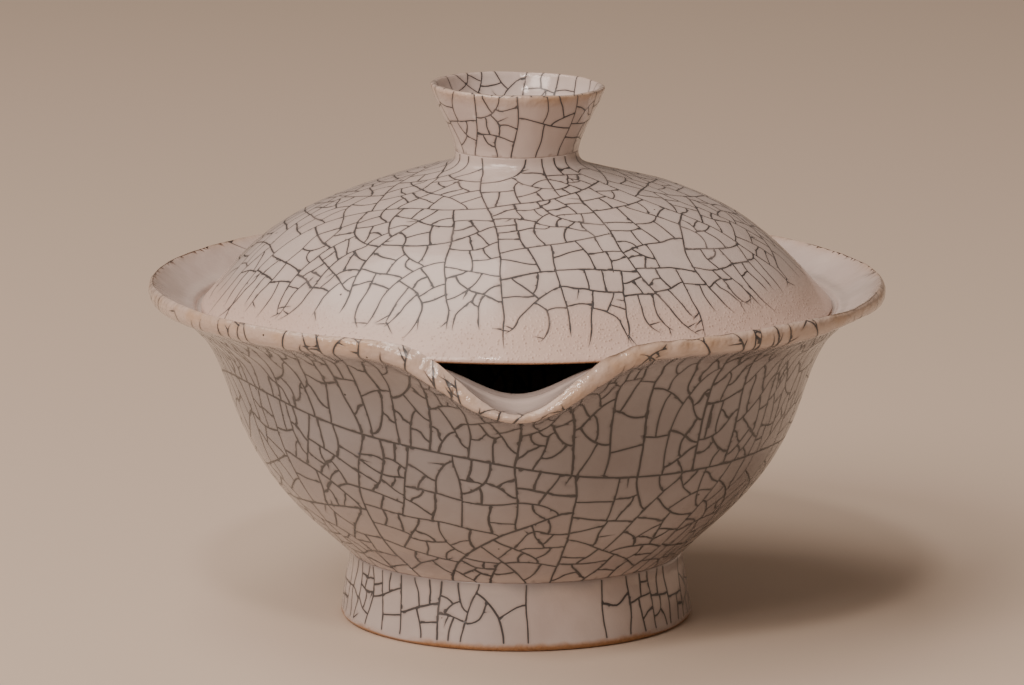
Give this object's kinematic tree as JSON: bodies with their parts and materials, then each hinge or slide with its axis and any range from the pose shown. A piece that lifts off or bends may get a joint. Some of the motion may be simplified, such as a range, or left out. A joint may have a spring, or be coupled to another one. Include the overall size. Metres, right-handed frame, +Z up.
{
  "type": "gaiwan",
  "caption": "Spouted gaiwan in crackle-glazed stoneware: a flanged bowl on a luted foot ring, with a domed lid and a hollow trumpet-shaped knob.",
  "frame": {"origin": "centre of the foot ring's flat underside, on the bowl's axis", "axes": "+Z up along the axis of the bowl and lid, -Y towards the spout, +X to the right of someone facing the spout"},
  "size_m": [0.1152, 0.118, 0.0841],
  "materials": {
    "crackle_glaze": "gloss"
  },
  "bodies": {
    "bowl_body": {"bowl": "crackle_glaze", "foot_ring": "crackle_glaze"},
    "lid_body": {"lid": "crackle_glaze", "knob": "crackle_glaze"}
  },
  "joints": [
    {"name": "lid_lift", "type": "slide", "parent": "bowl_body", "child": "lid_body", "axis": [0, 0, 1], "range_m": [0, 0.08]}
  ]
}
